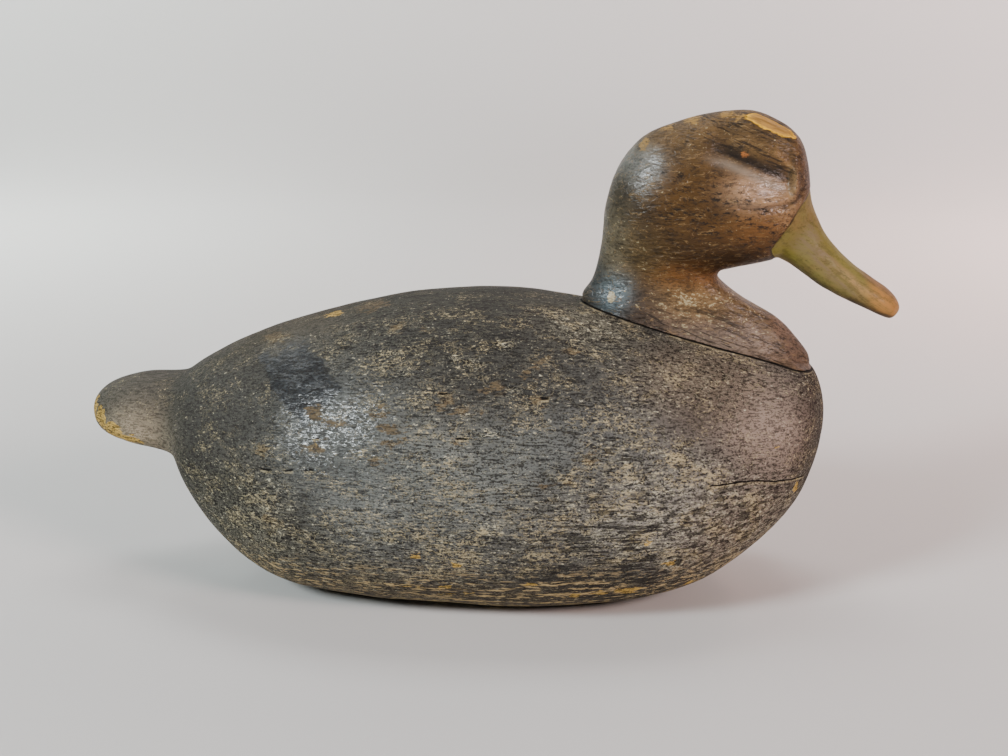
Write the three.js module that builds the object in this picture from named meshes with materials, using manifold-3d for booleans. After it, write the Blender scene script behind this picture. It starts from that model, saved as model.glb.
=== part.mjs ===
// A black duck gunning decoy of carved and painted wood, in two pieces: the body with its paddle tail,
// and the head block with neck base, neck, head and bill, which sits on a sloping flat cut in the body.
//
// Millimetres. +X runs forward to the bill, +Y to the bird's left and +Z up. The origin is on the flat
// underside, below the middle of the overall length.
import * as THREE from "three";
import { mergeVertices } from "three/addons/utils/BufferGeometryUtils.js";
import Module from "manifold-3d";

// The seam between body and head block is a flat cut, seen from the side as a straight line.
const SEAM_BACK = [48.5, 143.6];
const SEAM_FRONT = [159, 112.6];
const SEAM_GAP = 0.3;

// A groove above each cheek, where the eye would be, cut by a round gouge. The floor of the groove runs
// from back to front, on the bird's left, and the gouge reaches in from outwards.
const EYE_GROOVE = {
  back: [103, 18.6, 220],
  front: [143, 17.2, 204.8],
  outwards: [0, 0.95, 0.31],
  radius: 6,
};

// How finely each form is faceted: steps from rib to rib, and sides around a rib.
const BODY_FACETS = { steps: 4, sides: 52 };
const TAIL_FACETS = { steps: 3, sides: 28 };
const HEAD_FACETS = { steps: 2, sides: 44 };
const GOUGE_FACETS = { tip: 4, sides: 20 };

// The blocks that cut the bird are larger than it.
const BLOCK = { length: 420, width: 220, height: 160 };

// A rib is the outline of one slice across the bird. It runs from a top point to a bottom point, both
// given as [x, z] on the middle plane, and is widest a share of the way up. Fullness 2 is an ellipse,
// less is leaner and more is boxier, above and below the widest point.
function rib(top, bottom, halfWidth, widest, fullAbove, fullBelow) {
  return { top, bottom, halfWidth, widest, fullAbove, fullBelow };
}

// The rounded end of a form, where its ribs close to a point.
function pole(x, z, like) {
  return { ...like, top: [x, z], bottom: [x, z], halfWidth: 0 };
}

// The body, from the rump to the breast. It is cut flat below at z = 0.
const BODY_RIBS = [
  rib([-154.5, 100], [-142, 41.5], 38, 0.5, 2.2, 2.2),
  rib([-119.5, 121], [-122.5, 16], 59, 0.5, 2.1, 2.3),
  rib([-79.5, 134.5], [-93.5, 2], 75, 0.5, 2.1, 2.4),
  rib([-35.5, 144.5], [-49.5, -3], 83, 0.5, 2.1, 2.5),
  rib([8.5, 147], [-1.5, -4], 85, 0.5, 2.1, 2.6),
  rib([50.5, 143], [46.5, -3], 82, 0.5, 2, 2.6),
  rib([92.5, 134], [88.5, 3], 74, 0.5, 1.9, 2.5),
  rib([128.5, 124], [117.5, 13.5], 59, 0.5, 1.8, 2.3),
  rib([157.5, 115], [151, 44.5], 37, 0.5, 1.9, 2.2),
];
const RUMP = pole(-155.5, 77, BODY_RIBS[0]);
const BREAST = pole(165.2, 84, BODY_RIBS[BODY_RIBS.length - 1]);

// The paddle tail, from its thick rounded tip to its root inside the rump.
const TAIL_RIBS = [
  rib([-196.5, 92], [-196, 76.5], 13, 0.5, 2.2, 2.4),
  rib([-189.5, 97], [-189, 72.5], 22.5, 0.45, 2.2, 2.6),
  rib([-177.5, 100.5], [-177.5, 69.5], 29.5, 0.42, 2.2, 2.6),
  rib([-161.5, 101.5], [-161.5, 66.5], 33, 0.4, 2.2, 2.6),
  rib([-139.5, 102], [-139.5, 62], 34, 0.4, 2.2, 2.6),
];
const TAIL_TIP = pole(-198.5, 83.5, TAIL_RIBS[0]);

// The head block: neck base, neck, then the head with ribs that fan round the throat, and the bill.
const HEAD_RIBS = [
  rib([50, 138], [154, 103], 16, 0.5, 2.2, 2),
  rib([47.5, 147], [158, 116.5], 18, 0.5, 2.2, 2),
  rib([52, 154], [150.5, 128], 15.6, 0.52, 2.2, 2),
  rib([54.3, 162], [139.5, 138.5], 14.6, 0.55, 2.2, 2),
  rib([55.8, 170], [123.5, 147.3], 15.2, 0.55, 2.2, 2.1),
  rib([56.8, 179], [113, 155.8], 17.6, 0.55, 2.2, 2.2),
  rib([57.8, 191], [113.3, 160], 20.8, 0.5, 2.2, 2.3),
  rib([63, 208], [117.3, 161.4], 23.5, 0.46, 2.1, 2.3),
  rib([74.5, 223], [122.5, 162.6], 24.5, 0.42, 2, 2.3),
  rib([92, 230.8], [127.5, 163.6], 24.5, 0.4, 2, 2.3),
  rib([109, 235], [131.5, 164.5], 24, 0.4, 2, 2.3),
  rib([125, 235.8], [134.5, 165.2], 23, 0.4, 2, 2.3),
  rib([138.5, 230.8], [136.8, 165.8], 21.5, 0.4, 2, 2.2),
  rib([147.5, 223], [138.3, 166.2], 19.5, 0.42, 2.1, 2.2),
  rib([152, 211.5], [139.3, 166.4], 17, 0.45, 2.1, 2.2),
  rib([154, 197.5], [140.3, 166.3], 14.5, 0.48, 2.1, 2.2),
  rib([155.7, 191], [144.3, 164.2], 12.5, 0.5, 2, 2.3),
  rib([160.7, 180], [152.5, 159], 12, 0.48, 2, 2.4),
  rib([168, 171], [161, 153.5], 12, 0.45, 2, 2.5),
  rib([177, 163], [170.5, 148.3], 12.7, 0.45, 2, 2.5),
  rib([186, 156.8], [180.5, 143.8], 13, 0.45, 2, 2.5),
  rib([192.7, 152.2], [188.5, 140.4], 12.3, 0.45, 2, 2.5),
  rib([197, 147.6], [194.2, 138.8], 9, 0.48, 2, 2.4),
];
const BILL_TIP = pole(198.5, 142.8, HEAD_RIBS[HEAD_RIBS.length - 1]);

const PAINT = {
  body: { color: 0x37322c, roughness: 0.62, metalness: 0 },
  head: { color: 0x4c3b29, roughness: 0.55, metalness: 0 },
};

const wasm = await Module();
wasm.setup();

// Mixes four numbers into a smooth curve that passes through the middle two, at share s between them.
function smooth(before, from, to, after, s) {
  const leave = (to - before) / 2;
  const arrive = (after - from) / 2;
  const square = s * s;
  const cube = square * s;
  return (
    (2 * cube - 3 * square + 1) * from +
    (cube - 2 * square + s) * leave +
    (3 * square - 2 * cube) * to +
    (cube - square) * arrive
  );
}

// The rib beyond a pole is the last one turned over, so that the form closes in a round end.
function turnedOver(last, atPole) {
  return { ...atPole, top: last.bottom, bottom: last.top, halfWidth: -last.halfWidth };
}

// The rib beyond a flat end carries straight on.
function carriedOn(last, beforeLast) {
  const on = (a, b) => 2 * a - b;
  return {
    ...last,
    top: last.top.map((value, i) => on(value, beforeLast.top[i])),
    bottom: last.bottom.map((value, i) => on(value, beforeLast.bottom[i])),
    halfWidth: on(last.halfWidth, beforeLast.halfWidth),
  };
}

function ribBetween([before, from, to, after], s) {
  const mix = (read) => smooth(read(before), read(from), read(to), read(after), s);
  return {
    top: [mix((r) => r.top[0]), mix((r) => r.top[1])],
    bottom: [mix((r) => r.bottom[0]), mix((r) => r.bottom[1])],
    halfWidth: mix((r) => r.halfWidth),
    widest: mix((r) => r.widest),
    fullAbove: mix((r) => r.fullAbove),
    fullBelow: mix((r) => r.fullBelow),
  };
}

// One point of a rib: angle 0 is the top point, and it goes round by the bird's left side.
function pointOnRib(r, angle) {
  const up = Math.cos(angle);
  const side = Math.sin(angle);
  const power = 2 / (up > 0 ? r.fullAbove : r.fullBelow);
  const reach = up > 0 ? 1 - r.widest : -r.widest;
  const height = r.widest + reach * Math.abs(up) ** power;
  return new THREE.Vector3(
    THREE.MathUtils.lerp(r.bottom[0], r.top[0], height),
    r.halfWidth * Math.sign(side) * Math.abs(side) ** power,
    THREE.MathUtils.lerp(r.bottom[1], r.top[1], height),
  );
}

// A closed form through the ribs. A missing pole leaves that end flat.
function loft(ribs, startPole, endPole, facets) {
  const line = [startPole, ...ribs, endPole].filter(Boolean);
  const last = line.length - 1;
  const before = startPole ? turnedOver(line[1], startPole) : carriedOn(line[0], line[1]);
  const after = endPole ? turnedOver(line[last - 1], endPole) : carriedOn(line[last], line[last - 1]);
  const run = [before, ...line, after];

  const rings = [];
  for (let i = 0; i < last; i++) {
    for (let step = 0; step < facets.steps; step++) {
      rings.push(ribBetween(run.slice(i, i + 4), step / facets.steps));
    }
  }
  rings.push(line[last]);

  const points = [];
  const faces = [];
  const ringStart = [];
  for (const ring of rings) {
    ringStart.push(points.length);
    if (ring.halfWidth === 0) {
      points.push(pointOnRib(ring, 0));
    } else {
      for (let k = 0; k < facets.sides; k++) {
        points.push(pointOnRib(ring, (2 * Math.PI * k) / facets.sides));
      }
    }
  }

  const isPole = (i) => rings[i].halfWidth === 0;
  const at = (i, k) => ringStart[i] + (isPole(i) ? 0 : k % facets.sides);
  for (let i = 0; i + 1 < rings.length; i++) {
    for (let k = 0; k < facets.sides; k++) {
      if (!isPole(i)) faces.push(at(i, k), at(i + 1, k), at(i, k + 1));
      if (!isPole(i + 1)) faces.push(at(i, k + 1), at(i + 1, k), at(i + 1, k + 1));
    }
  }
  if (!startPole) closeEnd(0, false);
  if (!endPole) closeEnd(rings.length - 1, true);

  // Fills a flat end with triangles that fan out from its centre.
  function closeEnd(i, facesOn) {
    const ring = rings[i];
    const centre = points.length;
    points.push(
      new THREE.Vector3(
        THREE.MathUtils.lerp(ring.bottom[0], ring.top[0], ring.widest),
        0,
        THREE.MathUtils.lerp(ring.bottom[1], ring.top[1], ring.widest),
      ),
    );
    for (let k = 0; k < facets.sides; k++) {
      const pair = facesOn ? [at(i, k + 1), at(i, k)] : [at(i, k), at(i, k + 1)];
      faces.push(centre, ...pair);
    }
  }

  return new THREE.BufferGeometry().setFromPoints(points).setIndex(faces);
}

function solid(geometry) {
  const bare = new THREE.BufferGeometry();
  bare.setAttribute("position", geometry.getAttribute("position"));
  bare.setIndex(geometry.getIndex());
  const merged = mergeVertices(bare, 1e-4);
  return new wasm.Manifold(
    new wasm.Mesh({
      numProp: 3,
      vertProperties: merged.attributes.position.array,
      triVerts: new Uint32Array(merged.index.array),
    }),
  );
}

function meshOf(name, shape, paint) {
  const made = shape.getMesh();
  const geometry = new THREE.BufferGeometry();
  geometry.setAttribute("position", new THREE.BufferAttribute(made.vertProperties, 3));
  geometry.setIndex(new THREE.BufferAttribute(made.triVerts, 1));
  geometry.computeVertexNormals();
  const mesh = new THREE.Mesh(geometry, new THREE.MeshStandardMaterial(paint));
  mesh.name = name;
  return mesh;
}

// A block that fills the space above the seam, raised off it by the given gap.
function aboveSeam(gap) {
  const run = SEAM_FRONT[0] - SEAM_BACK[0];
  const fall = SEAM_BACK[1] - SEAM_FRONT[1];
  const block = new THREE.BoxGeometry(BLOCK.length, BLOCK.width, BLOCK.height);
  block.translate(0, 0, BLOCK.height / 2 + gap);
  block.rotateY(Math.atan2(fall, run));
  block.translate((SEAM_BACK[0] + SEAM_FRONT[0]) / 2, 0, (SEAM_BACK[1] + SEAM_FRONT[1]) / 2);
  return solid(block);
}

// A block that fills the space below the flat underside.
function belowFloor() {
  const block = new THREE.BoxGeometry(BLOCK.length, BLOCK.width, BLOCK.height);
  return solid(block.translate(0, 0, -BLOCK.height / 2));
}

// The gouge that cuts an eye groove; side is 1 on the bird's left and -1 on its right.
function grooveCutter(side) {
  const point = (values) => new THREE.Vector3(...values).multiply(new THREE.Vector3(1, side, 1));
  const back = point(EYE_GROOVE.back);
  const front = point(EYE_GROOVE.front);
  const middle = back.clone().lerp(front, 0.5);
  middle.addScaledVector(point(EYE_GROOVE.outwards).normalize(), EYE_GROOVE.radius);
  const along = front.clone().sub(back);
  const { tip, sides } = GOUGE_FACETS;
  const cutter = new THREE.CapsuleGeometry(EYE_GROOVE.radius, along.length(), tip, sides);
  const upright = new THREE.Vector3(0, 1, 0);
  cutter.applyQuaternion(new THREE.Quaternion().setFromUnitVectors(upright, along.normalize()));
  cutter.translate(middle.x, middle.y, middle.z);
  return solid(cutter);
}

const body = solid(loft(BODY_RIBS, RUMP, BREAST, BODY_FACETS));
const tail = solid(loft(TAIL_RIBS, TAIL_TIP, null, TAIL_FACETS));
const head = solid(loft(HEAD_RIBS, null, BILL_TIP, HEAD_FACETS));

// The bird is shaped as a whole and then parted at the seam, so that both pieces end flush.
const bird = body
  .add(tail)
  .add(head)
  .subtract(belowFloor())
  .subtract(grooveCutter(1))
  .subtract(grooveCutter(-1));

const decoy = new THREE.Group();
decoy.add(meshOf("body", bird.subtract(aboveSeam(0)), PAINT.body));
decoy.add(meshOf("head", bird.intersect(aboveSeam(SEAM_GAP)), PAINT.head));

export default decoy;
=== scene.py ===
import math

import bmesh
import bpy
import numpy as np
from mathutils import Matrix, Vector, noise


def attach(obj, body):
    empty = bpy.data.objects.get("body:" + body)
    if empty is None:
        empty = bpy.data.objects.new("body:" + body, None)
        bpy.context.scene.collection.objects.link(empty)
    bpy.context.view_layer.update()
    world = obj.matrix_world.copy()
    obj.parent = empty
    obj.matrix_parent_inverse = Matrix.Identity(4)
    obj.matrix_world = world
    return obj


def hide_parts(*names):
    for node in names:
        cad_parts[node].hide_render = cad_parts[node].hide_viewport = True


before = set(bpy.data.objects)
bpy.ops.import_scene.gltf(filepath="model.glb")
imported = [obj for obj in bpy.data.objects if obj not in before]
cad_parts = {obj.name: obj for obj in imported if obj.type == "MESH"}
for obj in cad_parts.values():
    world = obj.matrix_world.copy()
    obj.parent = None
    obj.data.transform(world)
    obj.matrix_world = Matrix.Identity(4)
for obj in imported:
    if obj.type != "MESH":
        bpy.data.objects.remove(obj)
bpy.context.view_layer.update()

# A black duck gunning decoy in two pieces of carved and painted wood: the body with its paddle tail, and
# the head block with neck base, neck, head and bill. Lengths below are in millimetres, as on the bench;
# the meshes are in metres. +X runs forward to the bill, +Y to the bird's left and +Z up.
MM = 0.001

# Points closer together than this are one point.
SAME_POINT = 0.001

# The seam between body and head block is a flat cut, seen from the side as a straight line. Its edges are
# worn back a little all round: a point within NEAR_SEAM of the cut is on its edge. The head block is carved
# with some wood to spare below the seam, and sawn off there last.
SEAM_BACK = (48.5, 143.6)
SEAM_FRONT = (159, 112.6)
SEAM_GAP = 0.4
SEAM_WEAR = 0.3
NEAR_SEAM = 0.02
SPARE_BELOW_SEAM = 8

# How finely each form is drawn, from rib to rib and round it, and how fine its carved surface is.
BODY_FACETS = {"steps": 6, "sides": 96}
TAIL_FACETS = {"steps": 5, "sides": 56}
HEAD_FACETS = {"steps": 4, "sides": 80}
BODY_GRAIN_SIZE = 1.6
HEAD_GRAIN_SIZE = 0.85

# A rib is one slice across the bird: top and bottom point as (x, z), half width, how far up it is
# widest, and how full it is above and below that.
BODY_RIBS = [
    ((-154.5, 100), (-142, 41.5), 38, 0.5, 2.2, 2.2),
    ((-119.5, 121), (-122.5, 16), 59, 0.5, 2.1, 2.3),
    ((-79.5, 134.5), (-93.5, 2), 75, 0.5, 2.1, 2.4),
    ((-35.5, 144.5), (-49.5, -3), 83, 0.5, 2.1, 2.5),
    ((8.5, 147), (-1.5, -4), 85, 0.5, 2.1, 2.6),
    ((50.5, 143), (46.5, -3), 82, 0.5, 2, 2.6),
    ((92.5, 134), (88.5, 3), 74, 0.5, 1.9, 2.5),
    ((128.5, 124), (117.5, 13.5), 59, 0.5, 1.8, 2.3),
    ((157.5, 115), (151, 44.5), 37, 0.5, 1.9, 2.2),
]
RUMP = (-155.5, 77)
BREAST = (165.2, 84)

TAIL_RIBS = [
    ((-196.5, 92), (-196, 76.5), 13, 0.5, 2.2, 2.4),
    ((-189.5, 97), (-189, 72.5), 22.5, 0.45, 2.2, 2.6),
    ((-177.5, 100.5), (-177.5, 69.5), 29.5, 0.42, 2.2, 2.6),
    ((-161.5, 101.5), (-161.5, 66.5), 33, 0.4, 2.2, 2.6),
    ((-139.5, 102), (-139.5, 62), 34, 0.4, 2.2, 2.6),
]
TAIL_TIP = (-198.5, 83.5)

HEAD_RIBS = [
    ((50, 138), (154, 103), 16, 0.5, 2.2, 2),
    ((47.5, 147), (158, 116.5), 18, 0.5, 2.2, 2),
    ((52, 154), (150.5, 128), 15.6, 0.52, 2.2, 2),
    ((54.3, 162), (139.5, 138.5), 14.6, 0.55, 2.2, 2),
    ((55.8, 170), (123.5, 147.3), 15.2, 0.55, 2.2, 2.1),
    ((56.8, 179), (113, 155.8), 17.6, 0.55, 2.2, 2.2),
    ((57.8, 191), (113.3, 160), 20.8, 0.5, 2.2, 2.3),
    ((63, 208), (117.3, 161.4), 23.5, 0.46, 2.1, 2.3),
    ((74.5, 223), (122.5, 162.6), 24.5, 0.42, 2, 2.3),
    ((92, 230.8), (127.5, 163.6), 24.5, 0.4, 2, 2.3),
    ((109, 235), (131.5, 164.5), 24, 0.4, 2, 2.3),
    ((125, 235.8), (134.5, 165.2), 23, 0.4, 2, 2.3),
    ((138.5, 230.8), (136.8, 165.8), 21.5, 0.4, 2, 2.2),
    ((147.5, 223), (138.3, 166.2), 19.5, 0.42, 2.1, 2.2),
    ((152, 211.5), (139.3, 166.4), 17, 0.45, 2.1, 2.2),
    ((154, 197.5), (140.3, 166.3), 14.5, 0.48, 2.1, 2.2),
    ((155.7, 191), (144.3, 164.2), 12.5, 0.5, 2, 2.3),
    ((160.7, 180), (152.5, 159), 12, 0.48, 2, 2.4),
    ((168, 171), (161, 153.5), 12, 0.45, 2, 2.5),
    ((177, 163), (170.5, 148.3), 12.7, 0.45, 2, 2.5),
    ((186, 156.8), (180.5, 143.8), 13, 0.45, 2, 2.5),
    ((192.7, 152.2), (188.5, 140.4), 12.3, 0.45, 2, 2.5),
    ((197, 147.6), (194.2, 138.8), 9, 0.48, 2, 2.4),
]
BILL_TIP = (198.5, 142.8)
BILL_RIBS = HEAD_RIBS[15:]

# The line of the brow, gouged in above the cheek, as (x, z), and how deep the gouge goes at each height
# above or below that line.
BROW = [
    (70, 227), (90, 223.5), (104, 220), (113, 217.6),
    (123, 213.5), (132, 209.3), (141, 205.7), (150, 202),
]
GOUGE = [
    (-22, 0), (-16, 0.4), (-12, 1.1), (-9, 2), (-6, 3.1), (-3, 4.1),
    (-1, 4.6), (1, 4.8), (4, 4.2), (9, 2.6), (15, 1.1), (24, 0),
]

# A lip runs round the front of the hollow and back below it, with a crease on its outside, as (x, z).
LIP_HEIGHT = 0.9
LIP_WIDTH = 1.5
CREASE_DEPTH = 0.7
CREASE_WIDTH = 1.1
LIP = [
    (135.5, 218), (140, 213.8), (144.6, 209), (145, 203),
    (142.5, 198.2), (137, 196.6), (128, 196.2), (119, 197),
]
LIP_CREASE = [(148, 201), (146, 196.5), (140, 194), (130, 193.2), (120, 193.6)]

# Where the face ends and the bill begins, as (z, x), how far the bill is set in there, and the line (x, z)
# that the bill stays above.
BILL_SET_IN = 0.35
BILL_ROOT = [
    (160, 139), (168, 138), (170.5, 136), (173.3, 135.2), (177.9, 138.1), (182.2, 141),
    (186.3, 143.6), (190.3, 145.8), (193.8, 148), (196.6, 150.4), (204, 156),
]
UNDER_BILL = [(120, 158), (140, 152), (165, 144), (200, 130)]

# The ridge down each side of the front of the neck base, as (z, x) and (z, y), with a hollow in front of it
# and behind it.
RIDGE_HEIGHT = 0.7
RIDGE_WIDTH = 2.6
RIDGE_HOLLOW = 0.35
NECK_RIDGE_X = [(112, 152), (117, 148.2), (128, 142.2), (139, 133.7), (146, 124)]
NECK_RIDGE_Y = [(112, 13.4), (117, 13), (128, 10.2), (139, 9.4), (146, 9)]

# A flat shaved on the crown: its middle, the way it faces and how deep it is cut.
SHAVED_MIDDLE = (131.5, -6, 232.2)
SHAVED_NORMAL = (0.42, -0.3, 0.857)
SHAVED_DEPTH = 0.25


def smooth(before, start, end, after, s):
    """A curve through start and end, at share s between them."""
    leave = (end - before) / 2
    arrive = (after - start) / 2
    return (
        (2 * s**3 - 3 * s**2 + 1) * start
        + (s**3 - 2 * s**2 + s) * leave
        + (3 * s**2 - 2 * s**3) * end
        + (s**3 - s**2) * arrive
    )


def numbers(rib):
    (top_x, top_z), (bottom_x, bottom_z), *rest = rib
    return [top_x, top_z, bottom_x, bottom_z, *rest]


def pole(point, like):
    x, z = point
    return [x, z, x, z, 0, *like[5:]]


def beyond(pole_rib, last):
    """The rib past a pole is the last one turned over, so that the end closes round."""
    return [*last[2:4], *last[0:2], -last[4], *pole_rib[5:]]


def slices(ribs, start, end, steps):
    """Every slice of a form, from its first rib or start pole to its last rib or end pole."""
    line = [numbers(rib) for rib in ribs]
    before = [2 * a - b for a, b in zip(line[0], line[1])]
    after = [2 * a - b for a, b in zip(line[-1], line[-2])]
    if start:
        before = beyond(pole(start, line[0]), line[0])
        line.insert(0, pole(start, line[0]))
    if end:
        after = beyond(pole(end, line[-1]), line[-1])
        line.append(pole(end, line[-1]))
    run = [before, *line, after]
    made = []
    for i in range(len(line) - 1):
        for step in range(steps):
            four = run[i : i + 4]
            made.append([smooth(*values, step / steps) for values in zip(*four)])
    made.append(line[-1])
    return made


def point_on(slice_, angle):
    """Angle 0 is the slice's top point, and it goes round by the bird's left side."""
    top_x, top_z, bottom_x, bottom_z, half_width, widest, full_above, full_below = slice_
    up, side = math.cos(angle), math.sin(angle)
    power = 2 / (full_above if up > 0 else full_below)
    reach = (1 - widest) if up > 0 else -widest
    height = widest + reach * abs(up) ** power
    return Vector(
        (
            bottom_x + (top_x - bottom_x) * height,
            half_width * math.copysign(abs(side) ** power, side),
            bottom_z + (top_z - bottom_z) * height,
        )
    ) * MM


def deselect():
    if bpy.context.object and bpy.context.object.mode != "OBJECT":
        bpy.ops.object.mode_set(mode="OBJECT")
    bpy.ops.object.select_all(action="DESELECT")


def take(piece):
    """Makes one piece the active one, alone."""
    deselect()
    piece.select_set(True)
    bpy.context.view_layer.objects.active = piece


def apply(piece, kind, **settings):
    """Adds a modifier with these settings to the piece and applies it."""
    take(piece)
    bpy.ops.object.modifier_add(type=kind)
    modifier = piece.modifiers[-1]
    for name, value in settings.items():
        setattr(modifier, name, value)
    bpy.ops.object.modifier_apply(modifier=modifier.name)


def place_ring(piece, slice_, sides):
    """Moves the selected ring of vertices onto a slice."""
    mesh = bmesh.from_edit_mesh(piece.data)
    place = mesh.verts.layers.int["place"]
    for vertex in mesh.verts:
        if vertex.select:
            vertex.co = point_on(slice_, 2 * math.pi * vertex[place] / sides)
    bmesh.update_edit_mesh(piece.data)


def loft(name, ribs, start, end, steps, sides):
    """Draws a ring out of a circle from slice to slice along the form."""
    deselect()
    bpy.ops.mesh.primitive_circle_add(vertices=sides, radius=10 * MM, fill_type="NOTHING")
    piece = bpy.context.object
    piece.name = name
    bpy.ops.object.mode_set(mode="EDIT")
    mesh = bmesh.from_edit_mesh(piece.data)
    place = mesh.verts.layers.int.new("place")
    for k, vertex in enumerate(mesh.verts):
        vertex[place] = k
    bpy.ops.mesh.select_all(action="SELECT")
    line = slices(ribs, start, end, steps)
    place_ring(piece, line[0], sides)
    if not start:
        bpy.ops.mesh.edge_face_add()
    for slice_ in line[1:]:
        bpy.ops.mesh.extrude_region()
        place_ring(piece, slice_, sides)
    if not end:
        bpy.ops.mesh.edge_face_add()
    bpy.ops.mesh.select_all(action="SELECT")
    bpy.ops.mesh.remove_doubles(threshold=SAME_POINT * MM)
    bpy.ops.mesh.normals_make_consistent(inside=False)
    bpy.ops.object.mode_set(mode="OBJECT")
    return piece


def join(piece, other):
    apply(piece, "BOOLEAN", object=other, operation="UNION", solver="EXACT")
    bpy.data.objects.remove(other)


def cut_flat(piece, point, normal):
    """Saws off all on the side the normal points to and closes the cut."""
    take(piece)
    bpy.ops.object.mode_set(mode="EDIT")
    bpy.ops.mesh.select_all(action="SELECT")
    bpy.ops.mesh.bisect(
        plane_co=point, plane_no=normal, use_fill=True, clear_outer=True, threshold=SAME_POINT * MM
    )
    bpy.ops.object.mode_set(mode="OBJECT")


def copy(piece, name):
    take(piece)
    bpy.ops.object.duplicate()
    made = bpy.context.object
    made.name = name
    return made


def points(piece):
    """The vertices in millimetres, one row each."""
    flat = np.empty(len(piece.data.vertices) * 3, np.float32)
    piece.data.vertices.foreach_get("co", flat)
    return flat.reshape(-1, 3).astype(float) / MM


def outward(piece):
    flat = np.empty(len(piece.data.vertices) * 3, np.float32)
    piece.data.vertex_normals.foreach_get("vector", flat)
    return flat.reshape(-1, 3).astype(float)


def put_points(piece, place):
    piece.data.vertices.foreach_set("co", (place * MM).astype(np.float32).ravel())
    piece.data.update()


def mark(piece, name, values):
    """Keeps one number at each vertex, for the paint to read."""
    layer = piece.data.attributes.new(name, "FLOAT", "POINT")
    layer.data.foreach_set("value", np.asarray(values, np.float32))


def tint(piece, name, colours):
    """Keeps one colour at each vertex."""
    layer = piece.data.attributes.new(name, "FLOAT_COLOR", "POINT")
    rows = np.hstack([colours, np.ones((len(colours), 1))])
    layer.data.foreach_set("color", rows.astype(np.float32).ravel())


def rise(low, high, value):
    """0 below low, 1 above high and a soft step between."""
    share = np.clip((value - low) / (high - low), 0, 1)
    return share * share * (3 - 2 * share)


def hump(value, width):
    """1 at 0, falling away softly either side."""
    return np.exp(-((value / width) ** 2))


def read_off(value, line):
    """The height of a broken line of (value, height) at each value."""
    return np.interp(value, *zip(*line))


def off_line(place, corners):
    """Distance in side view from a broken line of (x, z)."""
    nearest = np.full(len(place), 60.0)
    for (x0, z0), (x1, z1) in zip(corners, corners[1:]):
        length = math.hypot(x1 - x0, z1 - z0)
        share = ((place[:, 0] - x0) * (x1 - x0) + (place[:, 2] - z0) * (z1 - z0)) / length**2
        share = np.clip(share, 0, 1)
        off = np.hypot(place[:, 0] - x0 - share * (x1 - x0), place[:, 2] - z0 - share * (z1 - z0))
        nearest = np.minimum(nearest, off)
    return nearest


def hollows(place, size, seed):
    """Slow irregular waves between about -1 and 1, with hollows of the given size."""
    shift = Vector((seed, seed * 1.7, seed * 2.3))
    return np.array([noise.noise(Vector(p) / size + shift) for p in place]) * 2


def soften(piece, amount, repeat):
    """Smooths the surface where amount is near 1."""
    group = piece.vertex_groups.new(name="soften")
    for i in np.nonzero(amount > 0.02)[0]:
        group.add([int(i)], float(amount[i]), "REPLACE")
    apply(piece, "SMOOTH", factor=0.5, iterations=repeat, vertex_group="soften")
    piece.vertex_groups.clear()


run = SEAM_FRONT[0] - SEAM_BACK[0]
fall = SEAM_BACK[1] - SEAM_FRONT[1]
seam_normal = Vector((fall, 0, run)).normalized()
seam_point = Vector((SEAM_BACK[0], 0, SEAM_BACK[1])) * MM


def off_seam(place):
    """Millimetres above the seam's plane."""
    return (place - np.array(seam_point) / MM) @ np.array(seam_normal)


def past_bill_root(place):
    """Millimetres forward of the line where the bill begins."""
    return place[:, 0] - read_off(place[:, 2], BILL_ROOT)


def above_brow(place):
    """Millimetres above the line of the brow."""
    return place[:, 2] - read_off(place[:, 0], BROW)


def above_bill_line(place):
    """True above the line that the bill stays above."""
    return place[:, 2] > read_off(place[:, 0], UNDER_BILL)


def block_out():
    """Joins the body, the tail and the head as one bird, and gives a copy for each piece."""
    bird = loft("body_form", BODY_RIBS, RUMP, BREAST, **BODY_FACETS)
    join(bird, loft("tail_form", TAIL_RIBS, TAIL_TIP, None, **TAIL_FACETS))
    join(bird, loft("head_form", HEAD_RIBS, None, BILL_TIP, **HEAD_FACETS))
    cut_flat(bird, (0, 0, 0), (0, 0, -1))
    pieces = copy(bird, "carved_body"), copy(bird, "carved_head")
    bpy.data.objects.remove(bird)
    return pieces


def carve_body(body):
    """The tail runs into the rump in a soft cove, and the block, smoothed by hand, isn't quite true."""
    apply(body, "REMESH", mode="VOXEL", voxel_size=BODY_GRAIN_SIZE * MM)
    place = points(body)
    cove = rise(-172, -162, place[:, 0]) * (1 - rise(-142, -130, place[:, 0]))
    soften(body, cove, 50)
    place = points(body)
    place += outward(body) * (hollows(place, 38, 3) * 0.35 + hollows(place, 14, 8) * 0.12)[:, None]
    place[:, 2] = np.maximum(place[:, 2], 0)
    put_points(body, place)


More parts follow.
